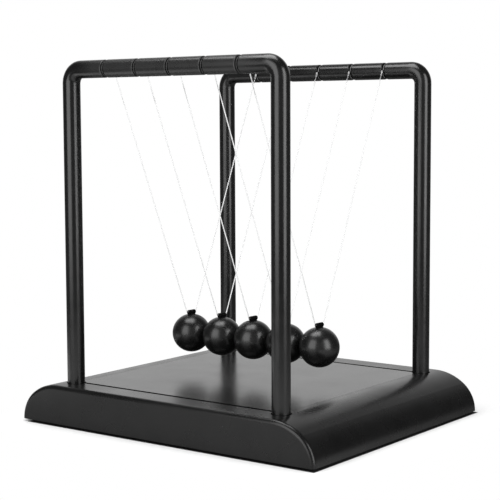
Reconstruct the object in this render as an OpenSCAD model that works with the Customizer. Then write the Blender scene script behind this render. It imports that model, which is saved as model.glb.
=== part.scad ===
// Desk cradle: five balls in a row, each hung on a V of line between two upside-down U frames.
// X runs along the row of balls, Y from front to rear, Z up from the table.

/* [Balls] */
// Diameter of each ball
ball_d = 20; // [14:0.5:24]
// Gap between neighbouring balls at rest
ball_gap = 0.2; // [0.1:0.05:0.5]
// Gap between the balls and the top of the base
ball_clear = 9.5; // [5:0.1:30]
// How far the row of balls lies to the right of the base's middle
row_shift = 1.2; // [-3:0.1:3]

/* [Frames] */
// Distance from the axis of the front frame to the axis of the rear frame
frame_span = 125; // [100:1:160]
// Distance from an end ball's groove to the nearest post axis, with the row in the middle
row_margin = 22.6; // [18:0.2:35]
// Diameter of the frame rod
rod_d = 8.7; // [7:0.1:10]
// Height of the bar axes above the table
bar_h = 176; // [150:1:220]
// Radius of each bend, at the middle of the rod
bend_r = 6.7; // [6:0.1:12]
// Depth of the line grooves in the bars
groove_depth = 0.8; // [0.7:0.05:1]
// Radius of the line grooves' round bottom
groove_r = 1; // [0.8:0.05:1.4]
// Bevel along both lips of the line grooves
groove_lip = 0.6; // [0.2:0.05:0.6]

/* [Base] */
// How far the base reaches past the post axes to the left and right
over_x = 26; // [23:0.5:40]
// How far the base reaches past the post axes to the front and rear
over_y = 12.5; // [11:0.5:25]
// Height of the flat top above the table
base_top = 20.4; // [19:0.2:28]
// Height of the shell's lower edge above the table
edge_lift = 1.2; // [1:0.1:2]
// How far each rounded end reaches in from the side
end_round_w = 23; // [20:0.5:24]
// Rounding along the front and rear edges
edge_r = 2; // [0.5:0.1:2.2]
// Wall of the shell
shell_wall = 2.4; // [1.8:0.1:3]
// Thickness of the shell under the flat top, with the panel's recess in it
top_wall = 3.4; // [3:0.1:5]

/* [Top panel] */
// Thickness of the panel
panel_t = 1.6; // [1:0.1:2]
// Distance from the post axes in to the front and rear seams
seam_set = 1.6; // [0.5:0.1:3]
// Width of the front and rear seams
seam_gap = 0.4; // [0.2:0.05:0.6]
// Width of the left and right seams
side_gap = 0.1; // [0.05:0.05:0.3]
// Bevel along both edges of the front and rear seams
seam_bevel = 0.5; // [0.2:0.05:0.8]

/* [Sockets] */
// Clearance round each leg in its socket
leg_gap = 0.5; // [0.15:0.05:0.6]
// Wall of each socket
socket_wall = 2.2; // [1.5:0.1:3]
// Thickness of each socket's floor
socket_floor = 2.4; // [1.8:0.1:3]

/* [Bottom cover and feet] */
// Thickness of the bottom cover
cover_t = 2; // [1.8:0.1:3]
// Clearance round the cover in the shell
cover_gap = 0.3; // [0.2:0.05:0.6]
// How far the cover stands below the shell's edge
cover_drop = 0.4; // [0.2:0.1:0.6]
// Diameter of each foot
foot_d = 12; // [8:0.5:16]
// Depth of the recess that each foot sits in
foot_recess = 0.6; // [0.4:0.1:0.8]
// Clearance round each foot in its recess
foot_gap = 0.2; // [0.1:0.05:0.4]
// Distance of the feet from the base's left and right sides
foot_in_x = 17; // [12:0.5:25]
// Distance of the feet from the base's front and rear
foot_in_y = 15; // [12:0.5:20]

/* [Suspension] */
// Diameter of the line
line_d = 0.5; // [0.3:0.05:0.6]
// Radius of the line's turn at each end of a hanger
line_turn_r = 1; // [0.8:0.1:2]
// Diameter of the knot at each end of a line
knot_d = 0.9; // [0.7:0.05:1]
// Distance of the knots in from the inner side of the bars
knot_stand = 0.3; // [0.25:0.05:0.6]
// Length of a hanger's cross tube
hanger_l = 5.5; // [4:0.5:10]
// Outside diameter of a hanger's cross tube
hanger_d = 2.4; // [1.8:0.1:3]
// Bore of a hanger's cross tube
hanger_bore = 1; // [0.8:0.1:1.2]
// Gap between a hanger's tube and the ball
hanger_lift = 0.1; // [0.05:0.05:0.3]
// Diameter of the stem that holds a hanger in its ball
stem_d = 1.6; // [1.2:0.1:2]
// Depth of the stem in the ball
stem_depth = 5; // [3:0.5:7]
// Clearance round the stem in the ball
stem_gap = 0.05; // [0.02:0.01:0.1]

/* [Fasteners] */
// Diameter of the post screws
post_screw_d = 3; // [2.5:0.1:3.5]
// Length of the post screws under the head
post_screw_l = 12; // [9:0.5:14]
// Diameter of the post screws' heads
post_head_d = 5.6; // [4.5:0.1:6.4]
// Height of the post screws' heads
post_head_h = 1.8; // [1.2:0.1:2.4]
// Diameter of the post washers
washer_d = 7; // [6:0.1:9]
// Thickness of the post washers
washer_t = 0.6; // [0.4:0.1:1]
// Diameter of the cover screws
cover_screw_d = 2.6; // [2:0.1:3]
// Length of the cover screws under the head
cover_screw_l = 8; // [6:0.5:10]
// Diameter of the cover screws' heads
cover_head_d = 5; // [4:0.1:6]
// Height of the cover screws' heads
cover_head_h = 1.1; // [0.8:0.1:1.3]
// Distance of the cover screws from the base's middle, to the left and right
cover_screw_x = 36; // [25:1:40]
// Distance of the cover screws from the base's front and rear
cover_screw_in = 13; // [10:0.5:18]
// Wall of the bosses that take the cover screws
boss_wall = 1.8; // [1.5:0.1:2.5]
// Clearance round a screw in its hole
screw_gap = 0.1; // [0.05:0.05:0.2]

/* [Hidden] */
$fn = 96;
overcut = 1;
ball_count = 5;
balls = [1 : ball_count];

// Places of the balls, grooves and posts
pitch = ball_d + ball_gap;
row_half = (ball_count - 1) / 2 * pitch;
function ball_x(i) = row_shift - row_half + (i - 1) * pitch;
ball_z = base_top + ball_clear + ball_d / 2;
rod_r = rod_d / 2;
post_x = row_half + row_margin;
post_y = frame_span / 2;
groove_bottom_r = rod_r - groove_depth;
groove_centre_r = groove_bottom_r + groove_r;
lip_r = rod_r - groove_lip;
lip_half = sqrt(groove_r ^ 2 - (groove_centre_r - lip_r) ^ 2);

// Outline of the base: a flat top, then two arcs in line with each other down to each side.
// Both arcs' centres lie on one line, the long side of a 3-4-5 triangle, and the arcs meet on it.
base_w = 2 * (post_x + over_x);
base_d = 2 * (post_y + over_y);
end_h = base_top - edge_lift;
flat_half = base_w / 2 - end_round_w;
arc_step = (end_round_w - end_h) / 2;
lower_r = end_h - arc_step;
upper_r = lower_r + 5 * arc_step;
lower_centre = [base_w / 2 - lower_r, edge_lift];
upper_centre = [flat_half, base_top - upper_r];
arc_meet = lower_centre + (lower_r + overcut) * [0.6, 0.8];
cavity_top = base_top - top_wall;

// Recess and panel
recess_half_y = post_y - seam_set;
leg_hole_r = rod_r + leg_gap;

// Heights inside the base, from the cover up to the legs
cover_bottom = edge_lift - cover_drop;
cover_top = cover_bottom + cover_t;
head_room = 0.4;
bore_spare = 1;
post_head_z = cover_top + head_room;
washer_z = post_head_z + post_head_h;
socket_z = washer_z + washer_t;
leg_z = socket_z + socket_floor;
leg_bore_l = post_screw_l - washer_t - socket_floor + bore_spare;
post_screw_hole_d = post_screw_d + 2 * screw_gap;
socket_r = leg_hole_r + socket_wall;

// Cover screws, sunk in the cover
cover_screw_y = base_d / 2 - cover_screw_in;
cover_screw_hole_d = cover_screw_d + 2 * screw_gap;
cover_sink = cover_head_h + screw_gap;
boss_d = cover_screw_hole_d + 2 * boss_wall;

// Feet
foot_h = cover_bottom + foot_recess;
foot_x = base_w / 2 - foot_in_x;
foot_y = base_d / 2 - foot_in_y;
foot_edge = 0.3;

// Suspension: the line leaves a knot beside each bar and turns into the hanger's tube
line_r = line_d / 2;
line_sides = 8;
knot_y = post_y - rod_r - knot_stand;
hanger_z = ball_z + ball_d / 2 + hanger_lift + hanger_d / 2;
turn_y = hanger_l / 2 + line_r;
turn_z = hanger_z + line_turn_r;
knot_span = [knot_y - turn_y, bar_h - turn_z];
line_lean = atan2(knot_span[0], knot_span[1]) - asin(line_turn_r / norm(knot_span));
line_rise = 90 - line_lean;
strand_end = [turn_y + line_turn_r * sin(line_rise), turn_z - line_turn_r * cos(line_rise)];
turn_steps = 5;
strand_steps = 8;
knot_angles = [-70, -40, 0, 40, acos(line_d / knot_d)];
loop_lift = 0.05;
loop_r = groove_bottom_r + line_r + loop_lift;
loop_open = 8;
loop_steps = 24;

// Puts its children at each of the four corners of a rectangle
module at_corners(x, y) {
    for (sx = [-1, 1], sy = [-1, 1])
        translate([sx * x, sy * y, 0])
            children();
}

// Section h high, along its first axis, and twice half wide, with its two upper corners rounded
module rim_section(h, half) {
    translate([0, -half])
        square([h - edge_r, 2 * half]);
    translate([0, edge_r - half])
        square([h, 2 * (half - edge_r)]);
    for (side = [-1, 1])
        translate([h - edge_r, side * (half - edge_r)])
            circle(edge_r);
}

// Part of a round disc about an axis that runs from front to rear, inside an outline in X and Z
module end_sector(centre, r, half, outline) {
    intersection() {
        translate([centre[0], 0, centre[1]])
            rotate([90, 0, 0])
                rotate([0, 0, 180])
                    rotate_extrude()
                        rim_section(r, half);
        rotate([90, 0, 0])
            linear_extrude(base_d + 2 * overcut, center = true)
                polygon(outline);
    }
}

// Solid form of the base, drawn in by inset on every side but the lower one
module base_form(inset) {
    half = base_d / 2 - inset;
    translate([0, 0, edge_lift])
        rotate([0, -90, 0])
            linear_extrude(2 * flat_half, center = true)
                rim_section(end_h - inset, half);
    upper_outline = [
        [flat_half, edge_lift], lower_centre, arc_meet,
        [arc_meet[0], base_top + overcut], [flat_half, base_top + overcut]
    ];
    lower_outline = [
        lower_centre, [base_w / 2 + overcut, edge_lift],
        [base_w / 2 + overcut, arc_meet[1]], arc_meet
    ];
    for (side = [0, 1])
        mirror([side, 0, 0]) {
            end_sector(upper_centre, upper_r - inset, half, upper_outline);
            end_sector(lower_centre, lower_r - inset, half, lower_outline);
        }
}

// Hollow of the shell, open below
module shell_cavity() {
    intersection() {
        base_form(shell_wall);
        translate([-base_w / 2, -base_d / 2, 0])
            cube([base_w, base_d, cavity_top]);
    }
    translate([shell_wall - base_w / 2, shell_wall - base_d / 2, edge_lift - overcut])
        cube([base_w - 2 * shell_wall, base_d - 2 * shell_wall, overcut]);
}

// Recess for the panel, wider at the top by the bevels of the seams
module panel_recess() {
    rim = recess_half_y + seam_bevel + overcut;
    rotate([90, 0, 90])
        linear_extrude(2 * post_x, center = true)
            polygon([
                [-recess_half_y, base_top - panel_t], [recess_half_y, base_top - panel_t],
                [recess_half_y, base_top - seam_bevel], [rim, base_top + overcut],
                [-rim, base_top + overcut], [-recess_half_y, base_top - seam_bevel]
            ]);
}

module base_shell() {
    color("#1d1d1f")
        difference() {
            union() {
                difference() {
                    base_form(0);
                    shell_cavity();
                }
                at_corners(post_x, post_y)
                    translate([0, 0, socket_z])
                        cylinder(h = cavity_top - socket_z, r = socket_r);
                at_corners(cover_screw_x, cover_screw_y)
                    translate([0, 0, cover_top])
                        cylinder(h = cavity_top - cover_top, d = boss_d);
            }
            panel_recess();
            at_corners(post_x, post_y) {
                translate([0, 0, leg_z])
                    cylinder(h = base_top - leg_z + overcut, r = leg_hole_r);
                translate([0, 0, socket_z - overcut])
                    cylinder(h = socket_floor + 2 * overcut, d = post_screw_hole_d);
            }
            at_corners(cover_screw_x, cover_screw_y)
                translate([0, 0, cover_top - overcut])
                    cylinder(h = cover_screw_l + overcut, d = cover_screw_hole_d);
        }
}

module top_panel() {
    half_x = post_x - side_gap;
    half_y = recess_half_y - seam_gap;
    color("#222224")
        difference() {
            rotate([90, 0, 90])
                linear_extrude(2 * half_x, center = true)
                    polygon([
                        [-half_y, base_top - panel_t], [half_y, base_top - panel_t],
                        [half_y, base_top - seam_bevel], [half_y - seam_bevel, base_top],
                        [seam_bevel - half_y, base_top], [-half_y, base_top - seam_bevel]
                    ]);
            at_corners(post_x, post_y)
                translate([0, 0, base_top - panel_t - overcut])
                    cylinder(h = panel_t + 2 * overcut, r = leg_hole_r);
        }
}

module bottom_cover() {
    half_x = base_w / 2 - shell_wall - cover_gap;
    half_y = base_d / 2 - shell_wall - cover_gap;
    color("#18181a")
        difference() {
            translate([-half_x, -half_y, cover_bottom])
                cube([2 * half_x, 2 * half_y, cover_t]);
            at_corners(foot_x, foot_y)
                translate([0, 0, cover_bottom - overcut])
                    cylinder(h = foot_recess + overcut, r = foot_d / 2 + foot_gap);
            at_corners(cover_screw_x, cover_screw_y) {
                translate([0, 0, cover_bottom - overcut])
                    cylinder(h = cover_sink + overcut, d = cover_head_d + 2 * screw_gap);
                translate([0, 0, cover_bottom])
                    cylinder(h = cover_t + overcut, d = cover_screw_hole_d);
            }
        }
}

// Round foot with a slightly broken lower edge
module foot(sx, sy) {
    color("#101010")
        translate([sx * foot_x, sy * foot_y, 0])
            rotate_extrude()
                polygon([
                    [0, 0], [foot_d / 2 - foot_edge, 0], [foot_d / 2, foot_edge],
                    [foot_d / 2, foot_h], [0, foot_h]
                ]);
}

// Screw that points up, with a cross slot in the underside of its head
module screw(d, l, head_d, head_h) {
    slot_l = 0.6 * head_d;
    slot_w = 0.3 * d;
    slot_depth = 0.6 * head_h;
    difference() {
        union() {
            cylinder(h = head_h, d = head_d);
            cylinder(h = head_h + l, d = d);
        }
        for (turn = [0, 90])
            rotate([0, 0, turn])
                translate([-slot_l / 2, -slot_w / 2, -overcut])
                    cube([slot_l, slot_w, slot_depth + overcut]);
    }
}

module post_screws() {
    color("silver")
        at_corners(post_x, post_y)
            translate([0, 0, post_head_z])
                screw(post_screw_d, post_screw_l, post_head_d, post_head_h);
}

module post_washers() {
    color("silver")
        at_corners(post_x, post_y)
            translate([0, 0, washer_z])
                difference() {
                    cylinder(h = washer_t, d = washer_d);
                    translate([0, 0, -overcut])
                        cylinder(h = washer_t + 2 * overcut, d = post_screw_hole_d);
                }
}

module cover_screws() {
    color("silver")
        at_corners(cover_screw_x, cover_screw_y)
            translate([0, 0, cover_bottom + cover_sink - cover_head_h])
                screw(cover_screw_d, cover_screw_l, cover_head_d, cover_head_h);
}

// Section of a line groove, out from the bar's axis: a round bottom and a bevel along each lip
module groove_section() {
    rim_half = lip_half + groove_lip + overcut;
    translate([groove_centre_r, 0])
        circle(groove_r);
    polygon([
        [lip_r, -lip_half], [rod_r + overcut, -rim_half],
        [rod_r + overcut, rim_half], [lip_r, lip_half]
    ]);
}

// Upside-down U of round rod, with a groove for each line and a screw bore in each leg
module frame(side) {
    bar_half = post_x - bend_r;
    bend_z = bar_h - bend_r;
    color("#161617")
        translate([0, side * post_y, 0])
            difference() {
                union() {
                    translate([-bar_half, 0, bar_h])
                        rotate([0, 90, 0])
                            cylinder(h = 2 * bar_half, r = rod_r);
                    for (end = [0, 1])
                        mirror([end, 0, 0]) {
                            translate([post_x, 0, leg_z])
                                cylinder(h = bend_z - leg_z, r = rod_r);
                            translate([bar_half, 0, bend_z])
                                rotate([90, 0, 0])
                                    rotate_extrude(angle = 90, start = 0)
                                        translate([bend_r, 0])
                                            circle(rod_r);
                        }
                }
                for (i = balls)
                    translate([ball_x(i), 0, bar_h])
                        rotate([0, 90, 0])
                            rotate_extrude()
                                groove_section();
                for (sx = [-1, 1])
                    translate([sx * post_x, 0, leg_z - overcut])
                        cylinder(h = leg_bore_l + overcut, d = post_screw_hole_d);
            }
}

module ball(i) {
    top = ball_z + ball_d / 2;
    color("#1a1a1b")
        difference() {
            translate([ball_x(i), 0, ball_z])
                sphere(d = ball_d);
            translate([ball_x(i), 0, top - stem_depth])
                cylinder(h = stem_depth + overcut, d = stem_d + 2 * stem_gap);
        }
}

module hanger(i) {
    stem_z = ball_z + ball_d / 2 - stem_depth + stem_gap;
    color("#121212")
        translate([ball_x(i), 0, 0])
            difference() {
                union() {
                    translate([0, 0, stem_z])
                        cylinder(h = hanger_z - stem_z, d = stem_d);
                    translate([0, hanger_l / 2, hanger_z])
                        rotate([90, 0, 0])
                            cylinder(h = hanger_l, d = hanger_d);
                }
                translate([0, hanger_l / 2 + overcut, hanger_z])
                    rotate([90, 0, 0])
                        cylinder(h = hanger_l + 2 * overcut, d = hanger_bore);
            }
}

// Rings of a line's rear half, from the hanger out to the knot: [y, z, heading above level, radius]
line_half = concat(
    [for (k = [0 : turn_steps])
        let (a = line_rise * k / turn_steps)
        [turn_y + line_turn_r * sin(a), turn_z - line_turn_r * cos(a), a, line_r]],
    [for (k = [1 : strand_steps - 1])
        let (p = strand_end + ([knot_y, bar_h] - strand_end) * k / strand_steps)
        [p[0], p[1], line_rise, line_r]],
    [for (k = [len(knot_angles) - 1 : -1 : 0])
        let (a = knot_angles[k], s = -knot_d / 2 * sin(a))
        [knot_y + s * cos(line_rise), bar_h + s * sin(line_rise), line_rise, knot_d / 2 * cos(a)]]
);

// The whole line: the rear half mirrored to the front, in order, then the rear half
line_rings = concat(
    [for (k = [len(line_half) - 1 : -1 : 0])
        let (r = line_half[k])
        [-r[0], r[1], -r[2], r[3]]],
    line_half
);

// Rings of the turn round a bar, open on the inner side where the knot lies
function loop_rings(side) = [
    for (k = [0 : loop_steps])
        let (a = (side > 0 ? 180 : 0) + loop_open + (360 - 2 * loop_open) * k / loop_steps)
        [side * post_y + loop_r * cos(a), bar_h + loop_r * sin(a), a + 90, line_r]
];

// Points of one ring, in the plane square to its heading
function ring_points(x, ring) = [
    for (j = [0 : line_sides - 1])
        let (a = 360 * j / line_sides, c = ring[3] * cos(a), s = ring[3] * sin(a))
        [x + c, ring[0] - s * sin(ring[2]), ring[1] + s * cos(ring[2])]
];

// Closed tube through a list of rings at one place along the row
module line_tube(x, rings) {
    last = len(rings) - 1;
    n = line_sides;
    points = [for (ring = rings) each ring_points(x, ring)];
    walls = [
        for (i = [0 : last - 1], j = [0 : n - 1])
            let (a = i * n + j, b = i * n + (j + 1) % n)
            each [[a, b, a + n], [b, b + n, a + n]]
    ];
    caps = [for (j = [1 : n - 2]) each [[0, j + 1, j], [last * n, last * n + j, last * n + j + 1]]];
    color("white")
        polyhedron(points = points, faces = concat(walls, caps));
}

module line(i) {
    line_tube(ball_x(i), line_rings);
}

module loop(i, side) {
    line_tube(ball_x(i), loop_rings(side));
}

// Least gap between two stretches of a tube that lie a quarter of its length or more apart
function own_gap(rings) = min([
    for (i = [0 : len(rings) - 1])
        for (j = [i + floor(len(rings) / 4) : 1 : len(rings) - 1])
            norm([rings[i][0] - rings[j][0], rings[i][1] - rings[j][1]])
]) - line_d;
echo(least_gap_of_a_loop_to_itself = own_gap(loop_rings(1)));
echo(lean_of_the_lines = line_lean);

base_shell();
top_panel();
bottom_cover();
foot(-1, -1);  // front_left_foot
foot(1, -1);  // front_right_foot
foot(-1, 1);  // rear_left_foot
foot(1, 1);  // rear_right_foot
post_screws();
post_washers();
cover_screws();
frame(-1);  // front_frame
frame(1);  // rear_frame
for (i = balls) {
    ball(i);
    hanger(i);
    line(i);
    loop(i, -1);
    loop(i, 1);
}
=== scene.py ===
import math

import bmesh
import bpy
from mathutils import Matrix, Vector


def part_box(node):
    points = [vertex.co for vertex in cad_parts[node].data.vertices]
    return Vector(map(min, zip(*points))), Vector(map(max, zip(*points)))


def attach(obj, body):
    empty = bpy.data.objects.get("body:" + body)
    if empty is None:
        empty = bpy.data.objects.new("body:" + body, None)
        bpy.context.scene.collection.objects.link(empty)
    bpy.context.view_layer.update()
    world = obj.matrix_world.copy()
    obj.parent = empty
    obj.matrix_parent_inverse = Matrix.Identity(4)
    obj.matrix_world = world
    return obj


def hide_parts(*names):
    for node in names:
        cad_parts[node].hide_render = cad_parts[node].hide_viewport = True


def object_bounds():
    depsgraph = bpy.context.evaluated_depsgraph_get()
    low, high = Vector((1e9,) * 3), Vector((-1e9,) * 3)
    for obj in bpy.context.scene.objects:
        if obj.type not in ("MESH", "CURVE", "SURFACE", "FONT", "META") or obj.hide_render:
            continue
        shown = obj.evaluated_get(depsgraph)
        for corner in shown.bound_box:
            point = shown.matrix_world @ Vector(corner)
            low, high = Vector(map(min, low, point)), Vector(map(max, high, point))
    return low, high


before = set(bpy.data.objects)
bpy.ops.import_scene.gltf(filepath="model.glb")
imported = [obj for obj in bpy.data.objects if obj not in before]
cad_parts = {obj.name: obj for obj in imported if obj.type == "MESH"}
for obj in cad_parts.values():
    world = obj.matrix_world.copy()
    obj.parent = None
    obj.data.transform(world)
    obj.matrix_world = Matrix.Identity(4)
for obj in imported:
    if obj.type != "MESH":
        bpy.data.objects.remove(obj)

cad_low, cad_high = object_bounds()

# Sizes are in metres and angles in degrees, apart from the camera's angles, which are in radians
BALL_NUMBERS = range(1, 6)

# Lines, with a small turn at each end of a hanger's tube
LINE_D = 0.0005
LINE_R = LINE_D / 2
LINE_BEVEL_STEPS = 3
TURN_R = 0.001
TURN_STEPS = 8

# Knots beside the bars
KNOT_STAND = 0.0003
KNOT_WRAP_R = 0.00025
KNOT_TURNS = 2.5
KNOT_TURN_STEPS = 16
KNOT_START = 0.0001
KNOT_LENGTH = 0.0011
KNOT_TAIL = 0.0012
KNOT_TAIL_LEAN = 0.6

# Loops in the grooves of the bars
LOOP_R = 0.00385
LOOP_OPEN = 8
LOOP_STEPS = 96
LOOP_SLANT = 0.00025
LOOP_END_Y = 0.004
LOOP_END_Z = 0.00035

# Hangers
HANGER_R = 0.00115
HANGER_BORE_R = 0.0005
HANGER_HALF_L = 0.0026
HANGER_DROP = 0.0003
HANGER_RIM_R = 0.0003
HANGER_SIDES = 32
SADDLE_HALF_X = 0.00105
SADDLE_HALF_Y = 0.0023
SADDLE_CORNER_R = 0.0006
SADDLE_DEPTH = 0.0008
ARC_STEPS = 6

# Grooves of the bars: from a groove's middle to its wall and to the outside of its rim, how far above and
# below the bar's axis the rim carries a painted highlight, and where on a frame the grooves are: down from
# the bar's axis, and along the row from its middle, in pitches
GROOVE_WALL = 0.00095
GROOVE_RIM = 0.0013
GROOVE_FADE = 0.0001
RIM_HIGHLIGHT_Z = 0.0025
RIM_END_Z = 0.004
GROOVE_LOW_Z = 0.006
GROOVE_FULL_Z = 0.005
GROOVE_ROW = 2.3

# Stretch of a bar with painted light: where it starts and is full, below the bar's axis and in from the
# panel's ends
PAINTED_BAR_LOW_Z = 0.007
PAINTED_BAR_FULL_Z = 0.003
PAINTED_BAR_END_X = 0.008
PAINTED_BAR_FULL_X = 0.018

# Seams of the top panel, and the band along them that is given painted shade
SEAM_GAP = 0.0004
SEAM_SHADE_REACH = 0.0010
SEAM_FADE = 0.0002

# Finishes: the range that a noise mostly keeps to, the shine of a plain surface, the greys of black plastic
NOISE_LOW = 0.3
NOISE_HIGH = 0.7
PLAIN_SHINE = 0.5
BLACK_DARK = 0.003
BLACK_LIGHT = 0.005

# Camera
CAMERA_PLACE = Vector((0.4147, -0.5566, 0.1518))
CAMERA_YAW = -0.6411
CAMERA_PITCH = 0.0951
CAMERA_ROLL = -0.0042
CAMERA_NEAR = 0.01
CAMERA_FAR = 20
SENSOR_W_MM = 36
LENS_MM = 99.2

# Floor: a disc with painted shade (a dark floor colour) below the base, a shadow close to it and, in
# reflections, a bright front and a white card
FLOOR_R = 0.32
FLOOR_SIDES = 128
FLOOR_GREY = 0.85
FLOOR_PAINTED_SHADE = 0.03
FLOOR_EDGE = 0.0005
FLOOR_SHADOW_REACH = 0.025
FLOOR_LEFT_SHORT = 0.004
FLOOR_REAR_PAST = 0.001
FLOOR_BRIGHT_TURN = -20
FLOOR_DIM = 0.15
FLOOR_BRIGHT = 0.62
FLOOR_DIM_REACH = 0.15
FLOOR_BRIGHT_REACH = 0.25
FLOOR_CARD = Vector((-0.2, -0.14, 0))
FLOOR_CARD_CORE_R = 0.05
FLOOR_CARD_EDGE_R = 0.11

# Room: the light that it sheds, and its levels in reflections
ROOM_SKY = 0.75
ROOM_DIM = 0.045
ROOM_TABLE = 0.11
ROOM_HORIZON = 0.05

# Power of a lamp for each square metre, at a glow of 1
LAMP_POWER = 4


# Camera


def camera_axes():
    """Right, up and forward directions of the camera in the row frame."""
    forward = Vector((
        math.sin(CAMERA_YAW) * math.cos(CAMERA_PITCH),
        math.cos(CAMERA_YAW) * math.cos(CAMERA_PITCH),
        -math.sin(CAMERA_PITCH),
    ))
    level_right = forward.cross(Vector((0, 0, 1))).normalized()
    level_up = level_right.cross(forward)
    right = level_right * math.cos(CAMERA_ROLL) + level_up * math.sin(CAMERA_ROLL)
    up = level_up * math.cos(CAMERA_ROLL) - level_right * math.sin(CAMERA_ROLL)
    return right, up, forward


def make_camera():
    """Camera at the photograph's angle."""
    right, up, forward = camera_axes()
    data = bpy.data.cameras.new("camera")
    data.sensor_width = SENSOR_W_MM
    data.lens = LENS_MM
    data.clip_start = CAMERA_NEAR
    data.clip_end = CAMERA_FAR
    camera = bpy.data.objects.new("camera", data)
    turn = Matrix((right, up, -forward)).transposed()
    camera.matrix_world = Matrix.Translation(CAMERA_PLACE) @ turn.to_4x4()
    bpy.context.scene.collection.objects.link(camera)
    bpy.context.scene.camera = camera


# Lines, knots and loops


def make_tube(name, routes, radius):
    """Round tube along each of several open routes, as one curve object."""
    data = bpy.data.curves.new(name, "CURVE")
    data.dimensions = "3D"
    data.bevel_depth = radius
    data.bevel_resolution = LINE_BEVEL_STEPS
    data.use_fill_caps = True
    for route in routes:
        spline = data.splines.new("POLY")
        spline.points.add(len(route) - 1)
        for point, place in zip(spline.points, route):
            point.co = (*place, 1)
        spline.use_smooth = True
    tube = bpy.data.objects.new(name, data)
    bpy.context.scene.collection.objects.link(tube)
    return tube


def ball_x(i):
    """X of the middle of ball i, and of its hanger, line and grooves."""
    return sum(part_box(f"ball_{i}"), Vector()).x / 2


def hanger_axis_z(i):
    """Height of the axis of the tube of hanger i, whose top is round."""
    low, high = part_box(f"hanger_{i}")
    return high.z - (high.x - low.x) / 2


def bar_axis(side):
    """Y and Z of the axis of the front (side -1) or rear (side 1) bar."""
    name = "front" if side < 0 else "rear"
    low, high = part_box(f"{name}_frame")
    loop_low, loop_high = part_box(f"{name}_loop_1")
    return (low.y + high.y) / 2, (loop_low.z + loop_high.z) / 2


def knot_place(i, side):
    """Start of the knot of line i beside the front or rear bar, on the axis that its ball swings about."""
    low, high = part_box(f"{'front' if side < 0 else 'rear'}_frame")
    inner = high.y if side < 0 else low.y
    return Vector((ball_x(i), inner - side * KNOT_STAND, bar_axis(side)[1]))


def half_route(i, side):
    """Centre of line i from its hanger out to one knot: a turn at the tube's end, then straight."""
    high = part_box(f"hanger_{i}")[1]
    knot = knot_place(i, side)
    turn_y = high.y + LINE_R
    turn_z = hanger_axis_z(i) + TURN_R
    span_y = abs(knot.y) - turn_y
    span_z = knot.z - turn_z
    lean = math.atan2(span_y, span_z) - math.asin(TURN_R / math.hypot(span_y, span_z))
    route = []
    for k in range(TURN_STEPS + 1):
        angle = (math.pi / 2 - lean) * k / TURN_STEPS
        y = turn_y + TURN_R * math.sin(angle)
        route.append(Vector((knot.x, side * y, turn_z - TURN_R * math.cos(angle))))
    return route + [knot]


def knot_route(i, side):
    """A few turns of line round the strand beside the bar, ending in a short cut tail."""
    knot = knot_place(i, side)
    along = (half_route(i, side)[-2] - knot).normalized()
    across = Vector((1, 0, 0))
    third = along.cross(across)
    steps = round(KNOT_TURNS * KNOT_TURN_STEPS)
    route = []
    for k in range(steps + 1):
        angle = 2 * math.pi * KNOT_TURNS * k / steps
        ring = across * math.cos(angle) + third * math.sin(angle)
        route.append(knot + along * (KNOT_START + KNOT_LENGTH * k / steps) + ring * KNOT_WRAP_R)
    leave = (route[-1] - route[-2]).normalized()
    route.append(route[-1] + (leave + along * KNOT_TAIL_LEAN).normalized() * KNOT_TAIL)
    return route


def loop_route(i, side):
    """The turn of line i round one bar: a little aslant, with both ends led out towards the knot."""
    bar_y, bar_z = bar_axis(side)
    x = ball_x(i)
    end_y = bar_y - side * LOOP_END_Y
    route = [Vector((x + LOOP_SLANT, end_y, bar_z + LOOP_END_Z))]
    for k in range(LOOP_STEPS + 1):
        angle = math.radians(LOOP_OPEN + (360 - 2 * LOOP_OPEN) * k / LOOP_STEPS)
        route.append(Vector((
            x + LOOP_SLANT * (1 - 2 * k / LOOP_STEPS),
            bar_y - side * LOOP_R * math.cos(angle),
            bar_z + LOOP_R * math.sin(angle),
        )))
    route.append(Vector((x - LOOP_SLANT, end_y, bar_z - LOOP_END_Z)))
    return route


def make_line(i, clear, in_knot):
    """The line of ball i from knot to knot through its hanger, with its two knots."""
    route = half_route(i, -1)[::-1] + half_route(i, 1)
    line = make_tube(f"line_strand_{i}", [route], LINE_R)
    line.data.materials.append(clear)
    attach(line, f"pendulum_{i}")
    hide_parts(f"line_{i}")
    knots = make_tube(f"line_knots_{i}", [knot_route(i, -1), knot_route(i, 1)], LINE_R)
    knots.data.materials.append(in_knot)
    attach(knots, f"pendulum_{i}")


def make_loops(i, in_groove):
    """The loops of line i in its front and rear grooves."""
    for name, side in (("front", -1), ("rear", 1)):
        loop = make_tube(f"{name}_loop_line_{i}", [loop_route(i, side)], LINE_R)
        loop.data.materials.append(in_groove)
        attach(loop, "stand")
        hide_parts(f"{name}_loop_{i}")


# Hangers


def quarter_arc(centre, radius, start):
    """Points of a quarter circle, anticlockwise from an angle in degrees."""
    angles = [math.radians(start + 90 * k / ARC_STEPS) for k in range(ARC_STEPS + 1)]
    return [(centre[0] + radius * math.cos(a), centre[1] + radius * math.sin(a)) for a in angles]


def join_rings(mesh, rings):
    """Faces between each ring of points and the next one."""
    for ring, after in zip(rings, rings[1:]):
        for k in range(len(ring)):
            mesh.faces.new((ring[k - 1], ring[k], after[k], after[k - 1]))


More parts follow.
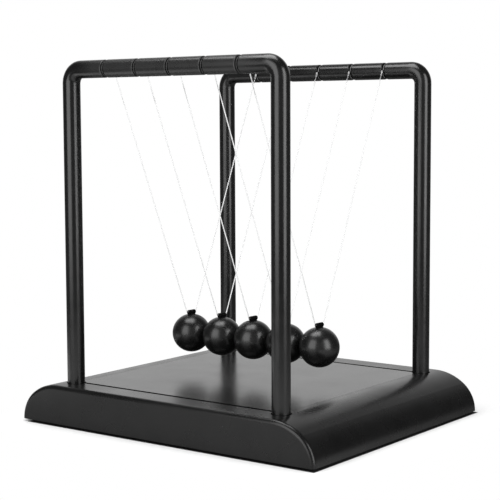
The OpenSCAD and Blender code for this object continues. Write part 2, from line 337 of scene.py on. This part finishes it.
def add_tube(mesh, centre):
    """Cross tube along Y with a bore and rounded rims, turned from the outline of its wall."""
    rim_y = HANGER_HALF_L - HANGER_RIM_R
    rim_r = HANGER_R - HANGER_RIM_R
    wall = quarter_arc((rim_y, rim_r), HANGER_RIM_R, 0)
    wall += quarter_arc((-rim_y, rim_r), HANGER_RIM_R, 90)
    wall += [(-HANGER_HALF_L, HANGER_BORE_R), (HANGER_HALF_L, HANGER_BORE_R)]
    angles = [2 * math.pi * k / HANGER_SIDES for k in range(HANGER_SIDES)]
    rings = []
    for y, radius in wall:
        places = [centre + Vector((radius * math.cos(a), y, radius * math.sin(a))) for a in angles]
        rings.append([mesh.verts.new(place) for place in places])
    join_rings(mesh, rings + rings[:1])


def add_saddle(mesh, centre, foot_z):
    """Block with rounded corners that carries the tube on its ball."""
    x = SADDLE_HALF_X - SADDLE_CORNER_R
    y = SADDLE_HALF_Y - SADDLE_CORNER_R
    outline = []
    for corner, start in (((x, y), 0), ((-x, y), 90), ((-x, -y), 180), ((x, -y), 270)):
        outline += quarter_arc(corner, SADDLE_CORNER_R, start)
    rings = []
    for z in (foot_z, centre.z):
        rings.append([mesh.verts.new((centre.x + px, centre.y + py, z)) for px, py in outline])
    join_rings(mesh, rings)
    mesh.faces.new(rings[0][::-1])
    mesh.faces.new(rings[1])


def make_hanger(i, finish):
    """The moulded hanger of ball i, seated on it round the same line as the plain one."""
    centre = sum(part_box(f"hanger_{i}"), Vector()) / 2
    centre.z = hanger_axis_z(i) - HANGER_DROP
    ball_top_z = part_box(f"ball_{i}")[1].z
    mesh = bmesh.new()
    add_tube(mesh, centre)
    add_saddle(mesh, centre, ball_top_z - SADDLE_DEPTH)
    bmesh.ops.recalc_face_normals(mesh, faces=mesh.faces)
    data = bpy.data.meshes.new(f"hanger_moulding_{i}")
    mesh.to_mesh(data)
    mesh.free()
    data.materials.append(finish)
    piece = bpy.data.objects.new(data.name, data)
    bpy.context.scene.collection.objects.link(piece)
    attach(piece, f"pendulum_{i}")
    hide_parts(f"hanger_{i}")


# Shader nodes: a source is an output of another node or a constant


def connect(tree, source, socket):
    """Links an output to a socket, or puts a constant on it."""
    if isinstance(source, bpy.types.NodeSocket):
        tree.links.new(source, socket)
    else:
        socket.default_value = source


def math_node(tree, operation, *sources):
    """Result of a sum on numbers."""
    node = tree.nodes.new("ShaderNodeMath")
    node.operation = operation
    for socket, source in zip(node.inputs, sources):
        connect(tree, source, socket)
    return node.outputs["Value"]


def vector_node(tree, operation, *sources):
    """Result of a sum on places or directions: a number for a product, distance or length."""
    node = tree.nodes.new("ShaderNodeVectorMath")
    node.operation = operation
    for socket, source in zip(node.inputs, sources):
        connect(tree, source, socket)
    is_number = operation in ("DOT_PRODUCT", "DISTANCE", "LENGTH")
    return node.outputs["Value" if is_number else "Vector"]


def ramp(tree, source, low, high, start=0.0, end=1.0, easing="LINEAR"):
    """Runs from start, where the source is low, to end, where it is high."""
    node = tree.nodes.new("ShaderNodeMapRange")
    node.interpolation_type = easing
    connect(tree, source, node.inputs["Value"])
    connect(tree, low, node.inputs["From Min"])
    connect(tree, high, node.inputs["From Max"])
    connect(tree, start, node.inputs["To Min"])
    connect(tree, end, node.inputs["To Max"])
    return node.outputs["Result"]


def grey(level):
    """Colour of an even grey."""
    return level, level, level, 1


def blend(tree, share, first, second):
    """Runs from the first colour, where the share is 0, to the second, where it is 1."""
    node = tree.nodes.new("ShaderNodeMix")
    node.data_type = "RGBA"
    connect(tree, share, node.inputs["Factor"])
    connect(tree, first, node.inputs["A"])
    connect(tree, second, node.inputs["B"])
    return node.outputs["Result"]


def piece_place(tree):
    """Place on the piece in the row frame, which stays with the piece when it moves."""
    return tree.nodes.new("ShaderNodeTexCoord").outputs["Object"]


def coordinate(tree, place, axis):
    """X, Y or Z of a place."""
    node = tree.nodes.new("ShaderNodeSeparateXYZ")
    tree.links.new(place, node.inputs[0])
    return node.outputs[axis]


def away_from(tree, axis, middle):
    """Distance of a place on the piece, mirrored to the positive side of an axis, from a middle there."""
    out = math_node(tree, "ABSOLUTE", coordinate(tree, piece_place(tree), axis))
    return math_node(tree, "ABSOLUTE", math_node(tree, "SUBTRACT", out, middle))


def noise(tree, grain, detail, stretch=(1, 1, 1)):
    """Noise fixed to the piece, whose grains are about grain metres wide, times stretch along each axis."""
    scale = tree.nodes.new("ShaderNodeMapping")
    scale.inputs["Scale"].default_value = [1 / (grain * s) for s in stretch]
    tree.links.new(piece_place(tree), scale.inputs["Vector"])
    texture = tree.nodes.new("ShaderNodeTexNoise")
    texture.inputs["Scale"].default_value = 1
    texture.inputs["Detail"].default_value = detail
    tree.links.new(scale.outputs["Vector"], texture.inputs["Vector"])
    return texture.outputs["Fac"]


def spread(tree, source, low, high):
    """A noise spread over a range of values."""
    return ramp(tree, source, NOISE_LOW, NOISE_HIGH, low, high)


def tint(tree, source, dark, light):
    """A colour between two, by a noise."""
    return blend(tree, spread(tree, source, 0, 1), dark, light)


# Materials


def new_material(name, **sockets):
    """Material with a plain shader, whose constant values sit on its own sockets."""
    material = bpy.data.materials.new(name)
    material.use_nodes = True
    shader = material.node_tree.nodes["Principled BSDF"]
    for socket, value in sockets.items():
        shader.inputs[socket.replace("_", " ")].default_value = value
    return material, material.node_tree, shader


def set_finish(tree, shader, colour, roughness):
    """Gives a shader its colour and roughness."""
    tree.links.new(colour, shader.inputs["Base Color"])
    tree.links.new(roughness, shader.inputs["Roughness"])


def bump(tree, shader, source, height):
    """Relief of a noise, height metres deep, on top of any relief already there."""
    relief = tree.nodes.new("ShaderNodeBump")
    relief.inputs["Strength"].default_value = 1
    relief.inputs["Distance"].default_value = height
    tree.links.new(source, relief.inputs["Height"])
    if shader.inputs["Normal"].is_linked:
        tree.links.new(shader.inputs["Normal"].links[0].from_socket, relief.inputs["Normal"])
    tree.links.new(relief.outputs["Normal"], shader.inputs["Normal"])


def moulded_black(name, dark, light, smooth, rough, grain, relief, shine=PLAIN_SHINE):
    """Black moulded plastic: clouded colour, patches of gloss from handling and a fine grain."""
    material, tree, shader = new_material(name, IOR=1.49, Specular_IOR_Level=shine)
    colour = tint(tree, noise(tree, grain=0.012, detail=4), grey(dark), grey(light))
    set_finish(tree, shader, colour, spread(tree, noise(tree, grain=0.02, detail=5), smooth, rough))
    bump(tree, shader, noise(tree, grain=grain, detail=3), height=relief)
    return material


def paint_seam_shade(material):
    """Painted shade along the front and rear seams of the top panel: takes the gloss off a narrow band, so it
    reads dark.
    """
    tree = material.node_tree
    shader = tree.nodes["Principled BSDF"]
    panel_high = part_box("top_panel")[1]
    from_seam = away_from(tree, "Y", panel_high.y + SEAM_GAP / 2)
    beside = ramp(tree, from_seam, SEAM_SHADE_REACH, SEAM_SHADE_REACH + SEAM_FADE, 1, 0)
    within = ramp(tree, away_from(tree, "X", 0), panel_high.x, panel_high.x + SEAM_FADE, 1, 0)
    dull = math_node(tree, "MULTIPLY", beside, within)
    roughness = shader.inputs["Roughness"].links[0].from_socket
    tree.links.new(math_node(tree, "MAXIMUM", roughness, dull), shader.inputs["Roughness"])
    tree.links.new(ramp(tree, dull, 0, 1, PLAIN_SHINE, 0), shader.inputs["Specular IOR Level"])


def groove_band(tree, inner, outer):
    """1 between two distances from the middle of each groove of a bar, and 0 elsewhere."""
    middle = ball_x(3)
    pitch = middle - ball_x(2)
    place = piece_place(tree)
    along = math_node(tree, "SUBTRACT", coordinate(tree, place, "X"), middle)
    nearest = math_node(tree, "ABSOLUTE", math_node(tree, "WRAP", along, pitch / 2, -pitch / 2))
    within = ramp(tree, nearest, outer - GROOVE_FADE, outer, 1, 0)
    beyond = ramp(tree, nearest, inner - GROOVE_FADE, inner)
    row = GROOVE_ROW * pitch
    in_row = ramp(tree, math_node(tree, "ABSOLUTE", along), row, row + SEAM_FADE, 1, 0)
    bar_z = bar_axis(1)[1]
    up = ramp(tree, coordinate(tree, place, "Z"), bar_z - GROOVE_LOW_Z, bar_z - GROOVE_FULL_Z)
    band = math_node(tree, "MULTIPLY", within, beyond)
    return math_node(tree, "MULTIPLY", math_node(tree, "MULTIPLY", band, in_row), up)


def painted_bar_share(tree, groove):
    """1 on a bar between its bends, where it takes painted light, 0 in its grooves and on the posts."""
    bar_z = bar_axis(1)[1]
    height = coordinate(tree, piece_place(tree), "Z")
    up = ramp(tree, height, bar_z - PAINTED_BAR_LOW_Z, bar_z - PAINTED_BAR_FULL_Z)
    end_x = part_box("top_panel")[1].x
    along = ramp(tree, away_from(tree, "X", 0), end_x - PAINTED_BAR_FULL_X, end_x - PAINTED_BAR_END_X, 1, 0)
    bar = math_node(tree, "MULTIPLY", up, along)
    return math_node(tree, "MULTIPLY", bar, math_node(tree, "SUBTRACT", 1, groove))


def rim_painted_highlight(tree):
    """Share of painted highlight on the rims of the grooves: in patches, at the front and rear of the bar."""
    beside = ramp(tree, away_from(tree, "Z", bar_axis(1)[1]), RIM_HIGHLIGHT_Z, RIM_END_Z, 1, 0)
    rim = math_node(tree, "MULTIPLY", groove_band(tree, GROOVE_WALL, GROOVE_RIM), beside)
    patches = spread(tree, noise(tree, grain=0.0015, detail=3), 0.1, 1)
    return math_node(tree, "MULTIPLY", rim, patches)


def rod_black(name, bar_painted_grey, bar_rough, bar_matt, rim_highlight_grey):
    """Glossy black rod with faint draw marks along its posts and its bar.

    Between its bends the bar takes painted light, a lighter grey and a highlight toned down by less shine,
    and more roughness, but not in the grooves, which take painted shade: rough and without shine, so they are
    black, with a painted highlight on their rims.
    """
    material, tree, shader = new_material(name, IOR=1.6)
    cloud = noise(tree, grain=0.01, detail=4)
    posts = tint(tree, cloud, grey(BLACK_DARK), grey(BLACK_LIGHT))
    # Painted light: the bar between its bends is lifted to a lighter grey than the posts
    bar = tint(tree, cloud, grey(BLACK_DARK + bar_painted_grey), grey(BLACK_LIGHT + bar_painted_grey))
    groove = groove_band(tree, 0, GROOVE_WALL)
    painted_bar = painted_bar_share(tree, groove)
    # Painted highlight on the groove rims: a lighter grey, strong on the front bar and almost none on the
    # rear one
    colour = blend(tree, rim_painted_highlight(tree), blend(tree, painted_bar, posts, bar), grey(rim_highlight_grey))
    roughness = spread(tree, noise(tree, grain=0.008, detail=5), 0.2, 0.27)
    roughness = math_node(tree, "ADD", roughness, math_node(tree, "MULTIPLY", painted_bar, bar_rough))
    # Painted shade in the grooves: full roughness and no shine there; on the bar bar_matt also tones the
    # shine down as painted light
    set_finish(tree, shader, colour, math_node(tree, "MAXIMUM", roughness, groove))
    matt = math_node(tree, "MAXIMUM", groove, math_node(tree, "MULTIPLY", painted_bar, bar_matt))
    tree.links.new(ramp(tree, matt, 0, 1, PLAIN_SHINE, 0), shader.inputs["Specular IOR Level"])
    for stretch in ((1, 1, 40), (40, 1, 1)):
        bump(tree, shader, noise(tree, grain=0.0006, detail=2, stretch=stretch), height=0.000002)
    return material


def coat_black():
    """Black paint on a metal ball, with the soft waves that a dipped coat has."""
    material, tree, shader = new_material("ball_black", IOR=1.6)
    colour = tint(tree, noise(tree, grain=0.006, detail=4), grey(0.004), grey(0.007))
    set_finish(tree, shader, colour, spread(tree, noise(tree, grain=0.004, detail=5), 0.25, 0.31))
    bump(tree, shader, noise(tree, grain=0.0012, detail=2), height=0.000006)
    return material


def clear_nylon():
    """Clear line with faint drawn streaks."""
    material, tree, shader = new_material("line_clear", IOR=1.45, Transmission_Weight=0.9)
    streak = noise(tree, grain=0.0003, detail=2, stretch=(1, 8, 8))
    colour = tint(tree, streak, (0.96, 0.965, 0.97, 1), grey(1))
    set_finish(tree, shader, colour, spread(tree, noise(tree, grain=0.0008, detail=3), 0.05, 0.12))
    return material


def white_nylon():
    """The same line where a knot crowds its turns together and turns it whitish."""
    material, tree, shader = new_material("line_in_knot", IOR=1.4, Transmission_Weight=0.3)
    colour = tint(tree, noise(tree, grain=0.0005, detail=3), grey(0.4), grey(0.6))
    set_finish(tree, shader, colour, spread(tree, noise(tree, grain=0.0008, detail=3), 0.25, 0.4))
    return material


def shaded_nylon():
    """The same line in a groove, coloured dark as painted shade where the black bar would show through it,
    less so where it lifts off inside.
    """
    material, tree, shader = new_material("line_in_groove", IOR=1.4, Specular_IOR_Level=0.2)
    streak = noise(tree, grain=0.0005, detail=3)
    tight = tint(tree, streak, grey(0.03), grey(0.08))
    lifted = tint(tree, streak, grey(0.1), grey(0.2))
    bar_y = bar_axis(1)[0]
    outer_share = ramp(tree, away_from(tree, "Y", 0), bar_y - LOOP_R, bar_y)
    colour = blend(tree, outer_share, lifted, tight)
    set_finish(tree, shader, colour, spread(tree, noise(tree, grain=0.0008, detail=3), 0.3, 0.45))
    return material


def foot_rubber():
    """Dull black rubber with a pitted skin and a little dust."""
    material, tree, shader = new_material("foot_black", IOR=1.5, Specular_IOR_Level=0.3)
    colour = tint(tree, noise(tree, grain=0.003, detail=5), grey(0.012), grey(0.03))
    set_finish(tree, shader, colour, spread(tree, noise(tree, grain=0.001, detail=4), 0.6, 0.8))
    bump(tree, shader, noise(tree, grain=0.0004, detail=3), height=0.00003)
    return material


def plated_steel():
    """Zinc-plated steel with turning marks and a mottled shine."""
    material, tree, shader = new_material("screw_steel", Metallic=1.0)
    colour = tint(tree, noise(tree, grain=0.001, detail=4), (0.42, 0.42, 0.44, 1), grey(0.6))
    set_finish(tree, shader, colour, spread(tree, noise(tree, grain=0.0006, detail=4), 0.25, 0.42))
    bump(tree, shader, noise(tree, grain=0.0002, detail=2), height=0.000008)
    return material


def dress(material, *names):
    """Gives CAD nodes their finish."""
    for name in names:
        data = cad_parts[name].data
        data.materials.clear()
        data.materials.append(material)


# Studio


def direction(turn, rise):
    """Direction out from the object, turned from the camera's bearing to the camera's own right."""
    forward = camera_axes()[2]
    bearing = math.atan2(-forward.y, -forward.x) + math.radians(turn)
    rise = math.radians(rise)
    return Vector((math.cos(rise) * math.cos(bearing), math.cos(rise) * math.sin(bearing), math.sin(rise)))


def ray_kinds(tree):
    """Two switches: seen directly, in a reflection or through a clear piece; and seen in a reflection."""
    path = tree.nodes.new("ShaderNodeLightPath")
    glossy = path.outputs["Is Glossy Ray"]
    through = path.outputs["Is Transmission Ray"]
    seen = math_node(tree, "MAXIMUM", path.outputs["Is Camera Ray"], glossy)
    seen = math_node(tree, "MAXIMUM", seen, through)
    reflected = math_node(tree, "SUBTRACT", glossy, through)
    reflected.node.use_clamp = True
    return seen, reflected


def mix_shader(tree, share, first, second):
    """Runs from the first shader, where the share is 0, to the second, where it is 1."""
    node = tree.nodes.new("ShaderNodeMixShader")
    for socket, source in zip(node.inputs, (share, first, second)):
        tree.links.new(source, socket)
    return node.outputs["Shader"]


def matt_surface(tree, colour):
    """Plain surface without shine."""
    node = tree.nodes.new("ShaderNodeBsdfDiffuse")
    connect(tree, colour, node.inputs["Color"])
    return node.outputs["BSDF"]


def white_light(tree, strength):
    """White light of the room."""
    node = tree.nodes.new("ShaderNodeBackground")
    node.inputs["Color"].default_value = grey(1)
    connect(tree, strength, node.inputs["Strength"])
    return node.outputs["Background"]


def outside_base(tree, place):
    """How far a place on the floor lies outside the painted shade below the base: 0 everywhere in it."""
    low = cad_low + Vector((FLOOR_LEFT_SHORT, 0, 0))
    high = cad_high + Vector((0, FLOOR_REAR_PAST, 0))
    centred = vector_node(tree, "SUBTRACT", place, (low + high) / 2)
    out = vector_node(tree, "ABSOLUTE", centred)
    beyond = vector_node(tree, "SUBTRACT", out, (high - low) / 2)
    return vector_node(tree, "LENGTH", vector_node(tree, "MAXIMUM", beyond, Vector((0, 0, 0))))


def mirrored_floor_level(tree, place):
    """How bright the floor is in reflections: bright in front, with a white card on the left."""
    across = vector_node(tree, "DOT_PRODUCT", place, direction(FLOOR_BRIGHT_TURN, 0))
    ends = (-FLOOR_DIM_REACH, FLOOR_BRIGHT_REACH, FLOOR_DIM, FLOOR_BRIGHT)
    table = ramp(tree, across, *ends, easing="SMOOTHSTEP")
    from_card = vector_node(tree, "DISTANCE", place, FLOOR_CARD)
    card = ramp(tree, from_card, FLOOR_CARD_CORE_R, FLOOR_CARD_EDGE_R, 1, 0)
    return math_node(tree, "MAXIMUM", table, card)


def floor_white():
    """Pale floor with painted shade below the base, that takes the shadow close to it and fades to plain
    white beyond.
    """
    material = bpy.data.materials.new("floor_white")
    material.use_nodes = True
    tree = material.node_tree
    tree.nodes.clear()
    place = piece_place(tree)
    outside = outside_base(tree, place)
    # Painted shade: the floor's colour is nearly black below the base and just past its rear, for every ray
    matt = matt_surface(tree, ramp(tree, outside, 0, FLOOR_EDGE, FLOOR_PAINTED_SHADE, FLOOR_GREY))
    white = tree.nodes.new("ShaderNodeEmission").outputs["Emission"]
    faded = mix_shader(tree, ramp(tree, outside, 0, FLOOR_SHADOW_REACH), matt, white)
    black = matt_surface(tree, grey(0))
    mirrored = mix_shader(tree, mirrored_floor_level(tree, place), black, matt)
    seen, reflected = ray_kinds(tree)
    shown = mix_shader(tree, seen, matt, faded)
    output = tree.nodes.new("ShaderNodeOutputMaterial")
    tree.links.new(mix_shader(tree, reflected, shown, mirrored), output.inputs["Surface"])
    return material


def make_floor():
    """Round pale table top."""
    angles = [2 * math.pi * k / FLOOR_SIDES for k in range(FLOOR_SIDES)]
    rim = [(FLOOR_R * math.cos(a), FLOOR_R * math.sin(a), 0) for a in angles]
    data = bpy.data.meshes.new("floor")
    data.from_pydata(rim, [], [range(FLOOR_SIDES)])
    data.materials.append(floor_white())
    floor = bpy.data.objects.new("floor", data)
    bpy.context.scene.collection.objects.link(floor)


def bright_patch(tree, place, turn, rise, core, edge, brightness):
    """Level of the room round one direction: even within the core angle, and dim beyond the edge angle."""
    toward = vector_node(tree, "DOT_PRODUCT", place, direction(turn, rise))
    angle = math_node(tree, "ARCCOSINE", toward)
    return ramp(tree, angle, math.radians(core), math.radians(edge), brightness, ROOM_DIM)


def make_world():
    """White to the eye, in reflections a dim room with a white backdrop, and even soft light."""
    world = bpy.data.worlds.new("studio")
    world.use_nodes = True
    bpy.context.scene.world = world
    tree = world.node_tree
    tree.nodes.clear()
    place = tree.nodes.new("ShaderNodeTexCoord").outputs["Generated"]
    backdrop = bright_patch(tree, place, turn=180, rise=8, core=8, edge=57, brightness=0.95)
    front = bright_patch(tree, place, turn=0, rise=0, core=15, edge=50, brightness=0.22)
    height = coordinate(tree, place, "Z")
    above = ramp(tree, height, -ROOM_HORIZON, ROOM_HORIZON, easing="SMOOTHSTEP")
    room = ramp(tree, above, 0, 1, ROOM_TABLE, math_node(tree, "MAXIMUM", backdrop, front))
    seen, reflected = ray_kinds(tree)
    shown = mix_shader(tree, reflected, white_light(tree, 1), white_light(tree, room))
    output = tree.nodes.new("ShaderNodeOutputWorld")
    whole = mix_shader(tree, seen, white_light(tree, ROOM_SKY), shown)
    tree.links.new(whole, output.inputs["Surface"])


def softbox(name, turn, place_z, distance, width, height, glow):
    """Soft lamp that faces the object, turn degrees round it to the camera's own right."""
    data = bpy.data.lights.new(name, "AREA")
    data.shape = "RECTANGLE"
    data.size = width
    data.size_y = height
    data.energy = LAMP_POWER * width * height * glow
    lamp = bpy.data.objects.new(name, data)
    lamp.location = direction(turn, 0) * distance + Vector((0, 0, place_z))
    lamp.rotation_euler = (-direction(turn, 0)).to_track_quat("-Z", "Y").to_euler()
    lamp.visible_camera = False
    bpy.context.scene.collection.objects.link(lamp)
    return lamp


def make_lamps():
    """A tall lamp left of the camera, a narrower one to the right, and one overhead that faces down."""
    softbox("left_lamp", turn=-44, place_z=0.4, distance=0.75, width=0.6, height=0.8, glow=1.85)
    softbox("right_lamp", turn=46, place_z=0.38, distance=0.75, width=0.4, height=0.76, glow=2.7)
    top = softbox("top_lamp", turn=-84, place_z=0.5, distance=0.096, width=0.33, height=0.25, glow=3.5)
    top.rotation_euler = (0, 0, -CAMERA_YAW)


# Assembly

make_camera()

line_clear = clear_nylon()
line_in_knot = white_nylon()
line_in_groove = shaded_nylon()
for number in BALL_NUMBERS:
    make_line(number, line_clear, line_in_knot)
    make_loops(number, line_in_groove)

base_black = moulded_black(
    "base_black", dark=BLACK_DARK, light=BLACK_LIGHT, smooth=0.24, rough=0.32, grain=0.0004, relief=0.000004,
)
panel_black = moulded_black(
    "panel_black", dark=BLACK_DARK, light=BLACK_LIGHT, smooth=0.22, rough=0.25, grain=0.0004, relief=0.000002,
)
cover_black = moulded_black(
    "cover_black", dark=0.014, light=0.022, smooth=0.42, rough=0.55, grain=0.0005, relief=0.00002,
)
hanger_black = moulded_black(
    "hanger_black", dark=0.0005, light=0.0015, smooth=0.6, rough=0.75, grain=0.0003, relief=0.000006,
    shine=0.12,
)
# Front copy: painted light on its bar and a painted highlight on its groove rims; the rear copy has almost
# none
front_frame_black = rod_black(
    "front_frame_black", bar_painted_grey=0.012, bar_rough=0.06, bar_matt=0.25, rim_highlight_grey=0.09,
)
rear_frame_black = rod_black("rear_frame_black", bar_painted_grey=0, bar_rough=0, bar_matt=0, rim_highlight_grey=0.004)
paint_seam_shade(base_black)
paint_seam_shade(panel_black)
dress(base_black, "base_shell")
dress(panel_black, "top_panel")
dress(cover_black, "bottom_cover")
dress(front_frame_black, "front_frame")
dress(rear_frame_black, "rear_frame")
dress(coat_black(), *[f"ball_{number}" for number in BALL_NUMBERS])
for number in BALL_NUMBERS:
    make_hanger(number, hanger_black)
dress(foot_rubber(), *[f"{y}_{x}_foot" for y in ("front", "rear") for x in ("left", "right")])
dress(plated_steel(), "post_screws", "post_washers", "cover_screws")

make_floor()
make_world()
make_lamps()
bpy.context.scene.view_settings.view_transform = "Standard"
